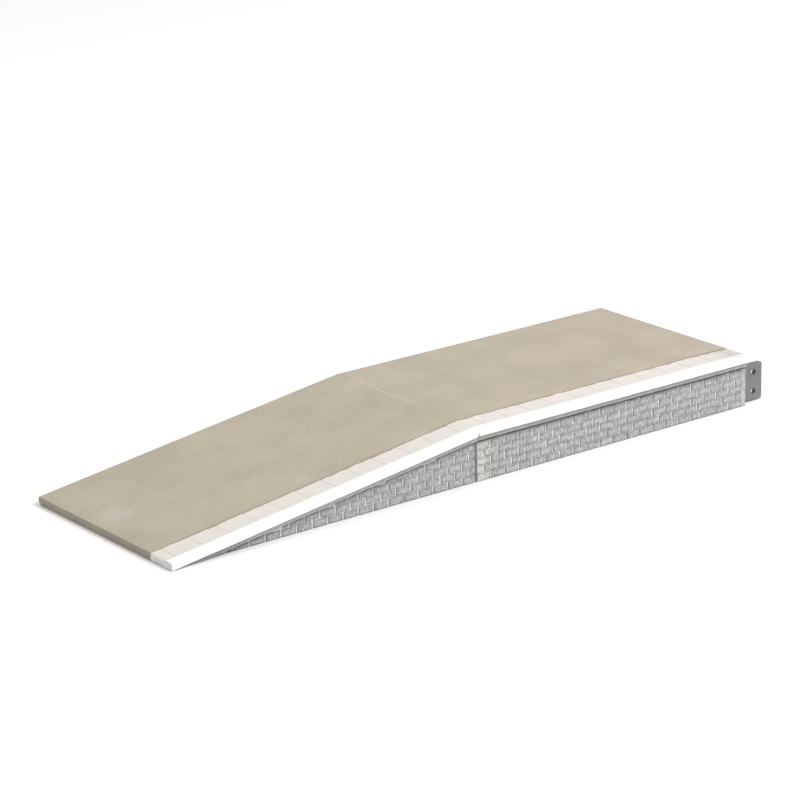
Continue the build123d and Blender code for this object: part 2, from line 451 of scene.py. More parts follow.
def painted_band_shadow(tree, place):
    """Painted shadow: 1 low on the walls, less on the stones next to the groove, in the string
    course's shade.
    """
    axes = split(tree, place)
    behind = calc(tree, "SUBTRACT", crest_x, axes["X"])
    behind = calc(tree, "MAXIMUM", behind, 0.0)
    level = calc(tree, "MULTIPLY_ADD", behind, slope, axes["Z"])
    shade_from = band_under - 1.8 * mm
    shade_to = band_under - 0.6 * mm
    return remap(tree, level, shade_from, shade_to, 1.0, 0.78)


def wall_painted_shades(tree, place):
    """All the painted shades that stones and mortar share."""
    return [shade(tree, place) for shade in (painted_seam_shade, painted_band_shadow, painted_toe_shade, painted_contact_shadow)]


# %% Stone paint
def make_stone_paint():
    material, tree, shader, place = begin("dry_brushed_stone_paint", 0.82)
    tone = add(tree, "ShaderNodeAttribute", attribute_name="tone").outputs["Fac"]
    middle = add(tree, "ShaderNodeAttribute", attribute_name="middle").outputs["Fac"]
    stone = mix(tree, tone, "#979797", "#B3B3B1")
    axes = split(tree, place)
    ragged = fleck(tree, place, 1.0 * mm, -0.6 * mm, 0.6 * mm)
    reach = calc(tree, "ADD", axes["X"], ragged)
    by_crest = remap(tree, reach, crest_x + 1.6 * mm, crest_x + 3.2 * mm, 0.75, 0.0)
    past_crest = calc(tree, "GREATER_THAN", axes["X"], crest_x)
    pale = calc(tree, "MULTIPLY", by_crest, past_crest)
    stone = mix(tree, pale, stone, "#CACAC3")
    tall = add(tree, "ShaderNodeMapping", {"Vector": place, "Scale": (1, 1, 0.22)})
    streak = fleck(tree, tall, 0.33 * mm, -0.7, 0.5, 1.0)
    streak = calc(tree, "MAXIMUM", streak, 0.0)
    streak = calc(tree, "MULTIPLY", streak, past_crest)
    stone = mix(tree, streak, stone, "#CDCDC9")
    # Painted shade: each stone darker round its rim and paler in its middle.
    rim = remap(tree, middle, 0.0, 0.7, 0.78, 1.02)
    dabs = fleck(tree, place, 0.45 * mm, 0.76, 1.2)
    upright = add(tree, "ShaderNodeMapping", {"Vector": place, "Scale": (1, 1, 0.35)})
    strokes = fleck(tree, upright, 0.28 * mm, 0.8, 1.2)
    grain = fleck(tree, place, 0.2 * mm, 0.9, 1.1)
    height = calc(tree, "ADD", dabs, grain)
    shades = [rim, dabs, strokes, grain] + wall_painted_shades(tree, place)
    coat(tree, shader, stone, shades, height, 0.14 * mm)
    return material


stone_paint = make_stone_paint()
print("made", stone_paint.name)

# %% Mortar wash
course_height = 1.5 * mm
bed_joint = 0.16 * mm


def make_mortar_wash():
    """The wash took patchily, and in the level joints it sank and stayed greyer."""
    material, tree, shader, place = begin("pale_mortar_wash", 0.85)
    axes = split(tree, place)
    share = calc(tree, "DIVIDE", axes["Z"], course_height)
    share = calc(tree, "FRACT", share)
    from_middle = calc(tree, "SUBTRACT", share, 0.5)
    from_middle = calc(tree, "ABSOLUTE", from_middle)
    bed_from = 0.5 - bed_joint / course_height
    sunk = remap(tree, axes["X"], crest_x - 9 * mm, crest_x, 0.25, 0.6)
    level_joint = remap(tree, from_middle, bed_from, bed_from + 0.03, 0.0, sunk)
    patchy = fleck(tree, place, 1.4 * mm, 0.0, 1.6)
    wash = calc(tree, "SUBTRACT", patchy, level_joint)
    wash = remap(tree, wash, 0.0, 1.0)
    mortar = mix(tree, wash, "#B2B2B0", "#F2F2F0")
    dabs = fleck(tree, place, 0.4 * mm, 0.88, 1.05)
    shades = [dabs] + wall_painted_shades(tree, place)
    coat(tree, shader, mortar, shades, dabs, 0.15 * mm)
    return material


mortar_wash = make_mortar_wash()
print("made", mortar_wash.name)

# %% String course and groove paints
def make_band_paint():
    material, tree, shader, place = begin("brushed_grey_band_paint", 0.8)
    long_way = add(tree, "ShaderNodeMapping", {"Vector": place, "Scale": (0.35, 1, 1)})
    blend = fleck(tree, long_way, 0.6 * mm, 0.0, 1.0)
    grey = mix(tree, blend, "#999998", "#ADADAB")
    dabs = fleck(tree, place, 0.4 * mm, 0.93, 1.05)
    coat(tree, shader, grey, (dabs, painted_toe_shade(tree, place)), dabs, 0.12 * mm)
    return material


# Painted shadow: dark paint for the groove under the string course and the inside of the open mitre
# corner, where shade falls.
def make_painted_shadow():
    material, tree, shader, place = begin("dark_shadow_line_paint", 0.85)
    blend = fleck(tree, place, 0.7 * mm, 0.0, 1.0)
    dark = mix(tree, blend, "#4E4E4E", "#686867")
    dabs = fleck(tree, place, 0.3 * mm, 0.9, 1.06)
    coat(tree, shader, dark, (dabs,), dabs, 0.1 * mm)
    return material


band_paint = make_band_paint()
painted_shadow = make_painted_shadow()
print("made", band_paint.name, "and", painted_shadow.name)

# %% [markdown]
# ### Bare polystyrene
#
# Inside, nothing is painted. Moulded polystyrene keeps the fine spark texture of its tool and
# faint flow marks, and it shines softly. The joiner plates are a darker moulding.

# %% Bare polystyrene
def make_bare_plastic(name, dark, light):
    material, tree, shader, place = begin(name, 0.45, plastic_ior)
    flow = add(tree, "ShaderNodeMapping", {"Vector": place, "Scale": (0.4, 1, 1)})
    blend = fleck(tree, flow, 5 * mm, 0.0, 1.0)
    base = mix(tree, blend, dark, light)
    spark = fleck(tree, place, 0.15 * mm, 0.97, 1.03)
    coat(tree, shader, base, (spark,), spark, 0.1 * mm)
    gloss = fleck(tree, place, 0.8 * mm, 0.38, 0.55)
    tree.links.new(gloss.outputs[0], shader.inputs["Roughness"])
    return material


bare_plastic = make_bare_plastic("moulded_polystyrene_grey", "#8B8C8D", "#939495")
joiner_plastic = make_bare_plastic("moulded_polystyrene_dark", "#6C6969", "#767373")
print("made", bare_plastic.name, "and", joiner_plastic.name)

# %% [markdown]
# ## Long mouldings
#
# A coping, a deck or a wall is one section carried along the platform. On the landing it runs
# level, and below the crest it falls with the ramp. So one function sweeps a section through
# stations a millimetre apart. Each corner of the section says whether it falls with the ramp or
# stays on the ground. A wander function may shift a corner a little from station to station,
# because no real moulding is quite straight.

# %% Sweep a section along the platform
station_step = 1.0 * mm
weld = 0.001 * mm             # points closer than this are one


def drop_at(x):
    """How far the platform has fallen at x."""
    return slope * max(0.0, crest_x - x)


def stations(x_from, x_to):
    """Evenly spaced places along X, from one end to the other."""
    count = max(1, round((x_to - x_from) / station_step))
    return [x_from + (x_to - x_from) * i / count for i in range(count + 1)]


def as_piece(name, mesh, *materials):
    """A bmesh as an object of its own, with its materials."""
    bmesh.ops.remove_doubles(mesh, verts=mesh.verts, dist=weld)
    bmesh.ops.dissolve_degenerate(mesh, edges=mesh.edges, dist=weld)
    bmesh.ops.recalc_face_normals(mesh, faces=mesh.faces)
    data = bpy.data.meshes.new(name)
    mesh.to_mesh(data)
    mesh.free()
    for material in materials:
        data.materials.append(material)
    piece = bpy.data.objects.new(name, data)
    bpy.context.scene.collection.objects.link(piece)
    return piece


def sweep(mesh, section, x_from, x_to, finishes=(), wander=None, low_end=0):
    """Carries (y, z, falls) corners along X. finishes gives a material number to each side,
    and low_end gives one to the end nearer the toe."""
    rings = []
    for x in stations(x_from, x_to):
        ring = []
        for number, (y, z, falls) in enumerate(section):
            dy, dz = wander(x, number) if wander else (0.0, 0.0)
            level = max(0.0, z - drop_at(x)) if falls else z
            ring.append(mesh.verts.new((x, y + dy, level + dz)))
        rings.append(ring)
    for near, far in zip(rings, rings[1:]):
        for number in range(len(section)):
            after = (number + 1) % len(section)
            face = mesh.faces.new((near[number], near[after], far[after], far[number]))
            face.material_index = finishes[number] if finishes else 0
    mesh.faces.new(rings[0]).material_index = low_end
    mesh.faces.new(rings[-1])


def soften(piece, width, segments=2, angle=40):
    """Rounds the sharp edges of a piece and keeps the result as its mesh."""
    bevel = piece.modifiers.new("soften", "BEVEL")
    bevel.width = width
    bevel.segments = segments
    bevel.limit_method = "ANGLE"
    bevel.angle_limit = math.radians(angle)
    keep_result(piece)


def keep_result(piece):
    """Replaces a piece's mesh by what its modifiers make of it."""
    graph = bpy.context.evaluated_depsgraph_get()
    result = bpy.data.meshes.new_from_object(piece.evaluated_get(graph))
    piece.modifiers.clear()
    piece.data = result


def hand_over(piece, slot, *nodes):
    """The piece rides on the one body and stands for its CAD nodes. slot is not used."""
    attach(piece, "root")
    if nodes:
        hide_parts(*nodes)
    print(piece.name, "-", len(piece.data.polygons), "faces")


# %% [markdown]
# ## Decks
#
# Each deck is a plain plate. Its edge along the coping was scraped to fit, so a fine uneven gap
# shows there, and it widens at the far end. The top is never quite flat.

# %% Decks
deck_rows = 12
gap_mean = 0.05 * mm
gap_wander = 0.05 * mm
end_gap = 0.12 * mm
end_gap_reach = 9 * mm
sag = 0.02 * mm
deck_edge = 0.07 * mm


def make_deck(name, node):
    low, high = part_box(node)
    rows = [coping_back_y + (back_y - coping_back_y) * i / deck_rows for i in range(deck_rows + 1)]
    section = [(y, platform_top, True) for y in rows]
    section += [(y, deck_under, True) for y in rows[::-1]]
    corner_numbers = (0, len(section) - 1)

    def wander(x, number):
        if number in corner_numbers:
            waves = noise.noise(Vector((x / (4 * mm), 3.1, 0.0)))
            widening = max(0.0, 1 - (end_x - x) / end_gap_reach)
            return max(0.0, gap_mean + gap_wander * 2 * waves + end_gap * widening), 0.0
        if 0 < number < deck_rows:
            y = rows[number]
            return 0.0, sag * (noise.noise(Vector((x, y, 0.0)) / (9 * mm)) - 0.5)
        return 0.0, 0.0

    mesh = bmesh.new()
    finishes = [0] * (deck_rows + 1) + [1] * deck_rows + [0]
    sweep(mesh, section, low.x, high.x, finishes, wander)
    piece = as_piece(name, mesh, deck_paint, bare_plastic)
    soften(piece, deck_edge)
    hand_over(piece, "deck_paint", node)


make_deck("ramp_deck_plate", "ramp_deck")
make_deck("landing_deck_plate", "landing_deck")

# %% [markdown]
# ## Copings
#
# The body of a coping is a bar with a rounded nosing and a deep front edge. Its front part
# stands at full height under the white line, and behind that it is a shade lower, where the
# flags lie. Where the two front edges meet at the crest, the mitre was cut a little short, which
# leaves a small open corner low down.

# %% Coping bodies
joint_depth = 0.05 * mm           # what is left of the joints under the paint
nosing = 0.15 * mm
nosing_steps = 4
coping_edge = 0.03 * mm
coping_wander = 0.04 * mm     # of the lower front edge
mitre_gap_width = 0.5 * mm
mitre_gap_height = 0.8 * mm
mitre_gap_depth = 0.5 * mm


def make_coping_body(name, node, open_corner):
    low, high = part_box(node)
    flag_floor = coping_top - joint_depth
    line_y = front_y + white_line_width
    section = [(coping_back_y, coping_under, True), (coping_back_y, flag_floor, True)]
    section += [(line_y, flag_floor, True), (line_y, coping_top, True)]
    for step in range(nosing_steps + 1):
        turn = math.pi / 2 * step / nosing_steps
        y = front_y + nosing * (1 - math.sin(turn))
        z = coping_top - nosing * (1 - math.cos(turn))
        section.append((y, z, True))
    section.append((front_y, coping_under, True))
    last = len(section) - 1

    def wander(x, number):
        if number != last:
            return 0.0, 0.0
        return 0.0, coping_wander * noise.noise(Vector((x / (3 * mm), 7.7, 0.0)))

    mesh = bmesh.new()
    finishes = [0] * last + [1]
    sweep(mesh, section, low.x, high.x, finishes, wander)
    piece = as_piece(name, mesh, coping_paint, bare_plastic, painted_shadow)
    if open_corner:
        cut_corner(piece)
    soften(piece, coping_edge, angle=50)
    hand_over(piece, "flagstone_paint", node)


def cut_corner(piece):
    """Cuts a small wedge out of the front edge where it meets the next coping."""
    past = 0.2 * mm
    wedge = bmesh.new()
    gap_top = coping_under + mitre_gap_height
    corners = [(crest_x + past, coping_under - past), (crest_x + past, gap_top)]
    corners += [(crest_x, gap_top), (crest_x - mitre_gap_width, coping_under - past)]
    front = [wedge.verts.new((x, front_y - past, z)) for x, z in corners]
    rear = [wedge.verts.new((x, front_y + mitre_gap_depth, z)) for x, z in corners]
    wedge.faces.new(front)
    wedge.faces.new(rear)
    for i in range(len(corners)):
        after = (i + 1) % len(corners)
        wedge.faces.new((front[i], front[after], rear[after], rear[i]))
    # The faces of the cut take the painted shadow, for the shade inside the open corner.
    for face in wedge.faces:
        face.material_index = 2
    cutter = as_piece("corner_cutter", wedge)
    cut = piece.modifiers.new("corner", "BOOLEAN")
    cut.operation = "DIFFERENCE"
    cut.solver = "EXACT"
    cut.object = cutter
    keep_result(piece)
    bpy.data.objects.remove(cutter)


make_coping_body("ramp_coping_bar", "ramp_coping", True)
make_coping_body("landing_coping_bar", "landing_coping", False)

# %% [markdown]
# ## Geometry Nodes, from plan to plain mesh
#
# Flags and stones repeat by a rule, so Geometry Nodes lay them. A tree is a plan with named
# sizes. An object with nothing in it runs the plan once, and the result is kept as its mesh.

# %% Start a plan and run it
hair = 1e-6                   # in metres, keeps equal ends apart from unequal ones


def plan(name, numbers, counts):
    """An empty tree with these named inputs and a material: the tree and its input sockets."""
    tree = bpy.data.node_groups.new(name, "GeometryNodeTree")
    for kind, labels in (("Float", numbers), ("Int", counts), ("Material", ("Material",))):
        for label in labels:
            tree.interface.new_socket(label, in_out="INPUT", socket_type="NodeSocket" + kind)
    tree.interface.new_socket("Geometry", in_out="OUTPUT", socket_type="NodeSocketGeometry")
    return tree, tree.nodes.new("NodeGroupInput").outputs


def remember(tree, geometry, facts):
    """Stores values on the geometry under their labels."""
    for label, value in facts.items():
        geometry = add(tree, "GeometryNodeStoreNamedAttribute", {
            "Geometry": geometry.outputs[0], "Name": label, "Value": value,
        })
    return geometry


def recall(tree, *labels):
    """Reads stored values back."""
    return [
        add(tree, "GeometryNodeInputNamedAttribute", [label], data_type="FLOAT") for label in labels
    ]


def place_blocks(tree, size, blocks, target, **more):
    """Moves every point to its target, and gives the blocks flat faces and their material."""
    moved = add(tree, "GeometryNodeSetPosition", {"Geometry": blocks, "Position": target, **more})
    flat = add(tree, "GeometryNodeSetShadeSmooth", {"Geometry": moved, "Shade Smooth": False})
    done = add(tree, "GeometryNodeSetMaterial", {"Geometry": flat, "Material": size["Material"]})
    add(tree, "NodeGroupOutput", [done])


def lay(name, tree, values):
    """Runs a plan with these values and keeps what it makes as a plain mesh."""
    piece = bpy.data.objects.new(name, bpy.data.meshes.new(name))
    bpy.context.scene.collection.objects.link(piece)
    modifier = piece.modifiers.new("plan", "NODES")
    modifier.node_group = tree
    for socket in tree.interface.items_tree:
        if socket.in_out == "INPUT":
            modifier[socket.identifier] = values[socket.name]
    keep_result(piece)
    return piece


# %% [markdown]
# ## Flags
#
# Each flag is a thin block, 5.6 mm along the platform, with a joint before the next. One flag
# bridges the crest, half on each coping, and the last one is cut short by the end. Its top is
# tooled with fine furrows across, as dressed stone is. The block is a grid in whole steps, and
# the tree moves every point of it to its place, so the furrows stay the same width on a short
# flag.

# %% Plan of a row of flags: one block for each
flag_columns = 57
flag_rows = 4


def flag_blocks(tree, size):
    """A block for each flag, which remembers where its flag starts and stops."""
    number = add(tree, "GeometryNodeInputIndex")
    half = calc(tree, "SUBTRACT", number, 0.5)
    start = calc(tree, "MULTIPLY", half, size["Flag Length"])
    stop = calc(tree, "ADD", start, size["Flag Length"])
    start = calc(tree, "MAXIMUM", start, 0.0)
    stop = calc(tree, "MINIMUM", stop, size["Length"])
    gap = calc(tree, "MULTIPLY", size["Joint"], 0.5)
    inner = calc(tree, "GREATER_THAN", start, hair)
    before = calc(tree, "MULTIPLY_ADD", inner, gap, start)
    end_edge = calc(tree, "SUBTRACT", size["Length"], hair)
    outer = calc(tree, "LESS_THAN", stop, end_edge)
    shorter = calc(tree, "MULTIPLY", outer, gap)
    after = calc(tree, "SUBTRACT", stop, shorter)
    tone_seed = calc(tree, "ADD", number, size["Seed"])
    tone = add(tree, "ShaderNodeTexWhiteNoise", [tone_seed], noise_dimensions="1D")
    points = add(tree, "GeometryNodeMeshLine", {"Count": size["Count"], "Offset": (0, 0, 0)})
    facts = {"start": before, "stop": after, "tone": tone.outputs["Value"]}
    points = remember(tree, points, facts)
    block = add(tree, "GeometryNodeMeshCube", {
        "Size": (1, 1, 2), "Vertices X": flag_columns, "Vertices Y": flag_rows, "Vertices Z": 3,
    })
    row = add(tree, "GeometryNodeInstanceOnPoints", {"Points": points, "Instance": block})
    return add(tree, "GeometryNodeRealizeInstances", [row])


# %% Plan of a row of flags: the shape of each
def flag_targets(tree, size):
    """Where every point of the blocks belongs."""
    start, stop = recall(tree, "start", "stop")
    step = split(tree, add(tree, "GeometryNodeInputPosition"))
    top_layer = calc(tree, "GREATER_THAN", step["Z"], 0.5)
    inset = calc(tree, "MULTIPLY", top_layer, size["Rim"])
    share = calc(tree, "ADD", step["X"], 0.5)
    low = calc(tree, "ADD", start, inset)
    high = calc(tree, "SUBTRACT", stop, inset)
    along = remap(tree, share, 0.0, 1.0, low, high)
    x = calc(tree, "MULTIPLY_ADD", along, size["Way"], size["Crest"])
    across = calc(tree, "MULTIPLY_ADD", step["Y"], size["Way"], 0.5)
    near = calc(tree, "ADD", size["Front"], inset)
    far = calc(tree, "SUBTRACT", size["Back"], inset)
    y = remap(tree, across, 0.0, 1.0, near, far)
    below = calc(tree, "LESS_THAN", step["Z"], 0.0)
    middle = calc(tree, "SUBTRACT", 1.0, top_layer)
    depth = calc(tree, "MULTIPLY", middle, size["Rim"])
    depth = calc(tree, "MULTIPLY_ADD", below, size["Thickness"], depth)
    ramp_side = calc(tree, "LESS_THAN", size["Way"], 0.0)
    fall = calc(tree, "MULTIPLY", along, size["Slope"])
    fall = calc(tree, "MULTIPLY_ADD", fall, ramp_side, depth)
    turn = calc(tree, "DIVIDE", along, size["Furrow"])
    turn = calc(tree, "MULTIPLY", turn, 2 * math.pi)
    wave = calc(tree, "COSINE", turn)
    flat_place = add(tree, "ShaderNodeCombineXYZ", [x, y, size["Seed"]])
    worn = add(tree, NOISE, {"Vector": flat_place, "Scale": 1 / (1.6 * mm), "Detail": 2.0})
    wave = calc(tree, "MULTIPLY", wave, worn)
    furrow = calc(tree, "MULTIPLY", wave, size["Furrow Depth"])
    furrow = calc(tree, "MULTIPLY_ADD", furrow, top_layer, fall)
    z = calc(tree, "SUBTRACT", size["Top"], furrow)
    return add(tree, "ShaderNodeCombineXYZ", [x, y, z])


flag_numbers = ("Crest", "Way", "Length", "Flag Length", "Joint", "Back", "Front", "Top",
                "Thickness", "Rim", "Slope", "Furrow", "Furrow Depth", "Seed")
flag_plan, flag_inputs = plan("row of flags", flag_numbers, ("Count",))
blocks = flag_blocks(flag_plan, flag_inputs)
place_blocks(flag_plan, flag_inputs, blocks, flag_targets(flag_plan, flag_inputs))
print("flag plan:", len(flag_plan.nodes), "nodes")

# %% Lay the flags
flag_length = 5.6 * mm
flag_sizes = {
    "Crest": crest_x,
    "Flag Length": flag_length,
    "Joint": 0.1 * mm,
    "Back": coping_back_y,
    "Front": front_y + white_line_width,
    "Thickness": joint_depth,
    "Rim": 0.015 * mm,
    "Slope": slope,
    "Top": coping_top,
    "Furrow": furrow,
    "Furrow Depth": 0.03 * mm,
    "Material": coping_paint,
}
for name, way, length, seed in (
    ("ramp_flags", -1.0, crest_x - toe_x, 11.0),
    ("landing_flags", 1.0, end_x - crest_x, 47.0),
):
    count = math.ceil((length - flag_length / 2) / flag_length) + 1
    values = dict(flag_sizes, Way=way, Length=length, Count=count, Seed=seed)
    hand_over(lay(name, flag_plan, values), "flagstone_paint")

# %% [markdown]
# ## Stone walls
#
# A wall moulding is a thin plate with a string course along its top. On its face stand squared
# stones in level courses, each second course half a stone on. On its inner face are pairs of
# ribs for the cross formers, and at the joining end two pegs for the joiner plate. On the ramp,
# the falling top cuts the courses off one after another.

# %% Sizes of the stonework
setback = 1.0 * mm            # from the platform's edge to the faces of the stones
relief = 0.15 * mm
ramp_step = 0.12 * mm         # the ramp walls lie this much behind the landing walls
stone_length = 3.325 * mm
head_joint = 0.3 * mm
courses = 5
end_margin = 1.2 * mm
least_stone = 0.35 * mm
landing_groove = 0.5 * mm
ramp_groove = 0.35 * mm
print("string course from", round(band_under / mm, 2), "to", round(coping_under / mm, 2), "mm")

# %% Plan of coursed stones: one block for each
stone_columns = 8
stone_rows = 4


def stone_blocks(tree, size):
    """A block for each stone, which remembers its ends, bottom and top. The falling top of a
    ramp wall cuts stones short, and leaves out what gets too small."""
    index = add(tree, "GeometryNodeInputIndex")
    per_course = calc(tree, "ADD", size["Stones"], 1.0)
    course = calc(tree, "DIVIDE", index, per_course)
    course = calc(tree, "FLOOR", course)
    number = calc(tree, "MODULO", index, per_course)
    odd = calc(tree, "MODULO", course, 2.0)
    span = calc(tree, "SUBTRACT", size["Right"], size["Left"])
    pitch = calc(tree, "DIVIDE", span, size["Stones"])
    shifted = calc(tree, "MULTIPLY_ADD", odd, -0.5, number)
    start = calc(tree, "MULTIPLY_ADD", shifted, pitch, size["Left"])
    stop = calc(tree, "ADD", start, pitch)
    start = calc(tree, "MAXIMUM", start, size["Left"])
    stop = calc(tree, "MINIMUM", stop, size["Right"])
    half_head = calc(tree, "MULTIPLY", size["Head"], 0.5)
    left_end = calc(tree, "ADD", size["Left"], hair)
    inside = calc(tree, "GREATER_THAN", start, left_end)
    left = calc(tree, "MULTIPLY_ADD", inside, half_head, start)
    right_end = calc(tree, "SUBTRACT", size["Right"], hair)
    inside = calc(tree, "LESS_THAN", stop, right_end)
    inside = calc(tree, "MULTIPLY", inside, half_head)
    right = calc(tree, "SUBTRACT", stop, inside)
    half_bed = calc(tree, "MULTIPLY", size["Bed"], 0.5)
    raised = calc(tree, "GREATER_THAN", course, 0.5)
    lift = calc(tree, "MULTIPLY", raised, half_bed)
    bottom = calc(tree, "MULTIPLY_ADD", course, size["Course"], lift)
    above = calc(tree, "ADD", course, 1.0)
    top = calc(tree, "MULTIPLY", above, size["Course"])
    top = calc(tree, "SUBTRACT", top, half_bed)
    room = calc(tree, "SUBTRACT", size["Limit"], bottom)
    room = calc(tree, "SUBTRACT", room, size["Least"])
    back = calc(tree, "DIVIDE", room, size["Slope"])
    cut = calc(tree, "SUBTRACT", size["Crest"], back)
    left = calc(tree, "MAXIMUM", left, cut)
    width = calc(tree, "SUBTRACT", right, left)
    too_small = calc(tree, "LESS_THAN", width, size["Least"])
    tone_seed = calc(tree, "ADD", index, size["Seed"])
    tone = add(tree, "ShaderNodeTexWhiteNoise", [tone_seed], noise_dimensions="1D")
    total = calc(tree, "MULTIPLY", per_course, size["Courses"])
    points = add(tree, "GeometryNodeMeshLine", {"Count": total.outputs[0], "Offset": (0, 0, 0)})
    facts = {"left": left, "right": right, "bottom": bottom, "top": top}
    facts.update(tone=tone.outputs["Value"], too_small=too_small)
    points = remember(tree, points, facts)
    points = add(tree, "GeometryNodeDeleteGeometry", [points] + recall(tree, "too_small"))
    block = add(tree, "GeometryNodeMeshCube", {
        "Size": (1, 2, 1), "Vertices X": stone_columns, "Vertices Y": 3, "Vertices Z": stone_rows,
    })
    wall = add(tree, "GeometryNodeInstanceOnPoints", {"Points": points, "Instance": block})
    return add(tree, "GeometryNodeRealizeInstances", [wall])


# %% Plan of coursed stones: the shape of each
hewn_size = 0.9 * mm
skew_size = 1.3 * mm


def stone_targets(tree, size):
    """Where every point belongs, its skew, and how near it is to the middle of its stone."""
    left, right, bottom, top, tone = recall(tree, "left", "right", "bottom", "top", "tone")
    step = split(tree, add(tree, "GeometryNodeInputPosition"))
    layer = calc(tree, "MULTIPLY", step["Y"], size["Outward"])
    face = calc(tree, "GREATER_THAN", layer, 0.5)
    rear = calc(tree, "LESS_THAN", layer, -0.5)
    inset = calc(tree, "MULTIPLY", face, size["Rim"])
    share_x = calc(tree, "ADD", step["X"], 0.5)
    share_z = calc(tree, "ADD", step["Z"], 0.5)
    low = calc(tree, "ADD", left, inset)
    high = calc(tree, "SUBTRACT", right, inset)
    x = remap(tree, share_x, 0.0, 1.0, low, high)
    behind = calc(tree, "SUBTRACT", size["Crest"], x)
    behind = calc(tree, "MAXIMUM", behind, 0.0)
    fall = calc(tree, "MULTIPLY", behind, size["Slope"])
    ceiling = calc(tree, "SUBTRACT", size["Limit"], fall)
    top = calc(tree, "MINIMUM", top, ceiling)
    low = calc(tree, "ADD", bottom, inset)
    high = calc(tree, "SUBTRACT", top, inset)
    z = remap(tree, share_z, 0.0, 1.0, low, high)

    bulge_x = calc(tree, "MULTIPLY", share_x, math.pi)
    bulge_x = calc(tree, "SINE", bulge_x)
    bulge_z = calc(tree, "MULTIPLY", share_z, math.pi)
    bulge_z = calc(tree, "SINE", bulge_z)
    bulge = calc(tree, "MULTIPLY", bulge_x, bulge_z)
    bulge = calc(tree, "POWER", bulge, 0.5)
    middle = calc(tree, "MULTIPLY", bulge, face)
    spot = add(tree, "ShaderNodeCombineXYZ", [x, tone, z])
    hewn = add(tree, NOISE, {"Vector": spot, "Scale": 1 / hewn_size, "Detail": 2.0})
    hewn = remap(tree, hewn, noise_low, noise_high, -1.0, 1.0)
    hewn = calc(tree, "ADD", hewn, bulge)
    hewn = calc(tree, "MULTIPLY", hewn, size["Rough"])
    height = calc(tree, "ADD", size["Relief"], hewn)
    rim_height = calc(tree, "SUBTRACT", size["Relief"], size["Rim"])
    depth = remap(tree, face, 0.0, 1.0, rim_height, height)
    sunk = calc(tree, "MULTIPLY", size["Sunk"], -1.0)
    depth = remap(tree, rear, 0.0, 1.0, depth, sunk)
    y = calc(tree, "MULTIPLY_ADD", depth, size["Outward"], size["Plane"])
    target = add(tree, "ShaderNodeCombineXYZ", [x, y, z])
    skewed = add(tree, NOISE, {"Vector": spot, "Scale": 1 / skew_size, "Detail": 1.0})
    centred = [skewed.outputs["Color"], (0.5, 0.5, 0.5)]
    offset = add(tree, VECTOR_MATH, centred, operation="SUBTRACT")
    offset = add(tree, VECTOR_MATH, [offset, (1.0, 0.0, 1.0)], operation="MULTIPLY")
    offset = add(tree, VECTOR_MATH, {0: offset, "Scale": size["Skew"]}, operation="SCALE")
    return target, offset, middle


stone_numbers = ("Left", "Right", "Course", "Bed", "Head", "Limit", "Crest", "Slope", "Least",
                 "Plane", "Outward", "Relief", "Sunk", "Rim", "Rough", "Skew", "Seed")
stone_plan, stone_inputs = plan("coursed stones", stone_numbers, ("Stones", "Courses"))
blocks = stone_blocks(stone_plan, stone_inputs)
target, offset, middle = stone_targets(stone_plan, stone_inputs)
blocks = remember(stone_plan, blocks, {"middle": middle})
place_blocks(stone_plan, stone_inputs, blocks, target, Offset=offset)
print("stone plan:", len(stone_plan.nodes), "nodes")

# %% Wall plates with their string course, ribs and pegs
former_thickness = 1.0 * mm
rib_width = 0.6 * mm
rib_depth = 0.6 * mm
rib_drop = 0.8 * mm
least_rib = 1.0 * mm
former_clearance = 0.05 * mm
peg_radius = 0.55 * mm
peg_length = 0.9 * mm
peg_sides = 32
overlap = 0.05 * mm           # ribs and pegs start this far inside the plate
margin_sunk = 0.1 * mm
wall_edge = 0.05 * mm
groove_wander = 0.03 * mm
margin_tone = 0.9             # the margin's paint, as one more stone's
hole_from_end = 3.2 * mm
hole_pitch = 3.9 * mm
joiner_middle = (joiner_low.z + joiner_high.z) / 2
former_nodes = ("ramp_former_low", "ramp_former_high", "crest_former",
                "landing_former_inner", "landing_former_outer")
former_places = [(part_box(node)[0].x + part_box(node)[1].x) / 2 for node in former_nodes]


def block(mesh, low, high, finish):
    """A closed box between two corners."""
    made = bmesh.ops.create_cube(mesh, size=1.0)
    for vertex in made["verts"]:
        vertex.co = Vector([a + (b - a) * (c + 0.5) for a, b, c in zip(low, high, vertex.co)])
    for face in {face for vertex in made["verts"] for face in vertex.link_faces}:
        face.material_index = finish


def make_wall_plate(node, side, top, groove, plane):
    """The plate with its string course, from its inner face round to its foot."""
    low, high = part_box(node)
    section = [(inner_y, 0.0, False), (inner_y, top, True), (band_y, top, True)]
    section += [(band_y, band_under, True), (plane, band_under, True)]
    section += [(plane, band_under - groove, True), (plane, 0.0, False)]
    section = [(side * y, z, falls) for y, z, falls in section]
    groove_corners = (3, 4, 5)

    def wander(x, number):
        if number not in groove_corners or section[number][1] - drop_at(x) <= 0.1 * mm:
            return 0.0, 0.0
        return 0.0, groove_wander * noise.noise(Vector((x / (2 * mm), side, 1.3)))

    mesh = bmesh.new()
    # The strip of plate under the string course takes the painted shadow.
    sweep(mesh, section, low.x, high.x, (2, 1, 1, 1, 3, 0, 2), wander, low_end=4)
    finishes = (mortar_wash, band_paint, bare_plastic, painted_shadow, deck_paint)
    piece = as_piece(node + "_plate", mesh, *finishes)
    soften(piece, wall_edge)
    return piece


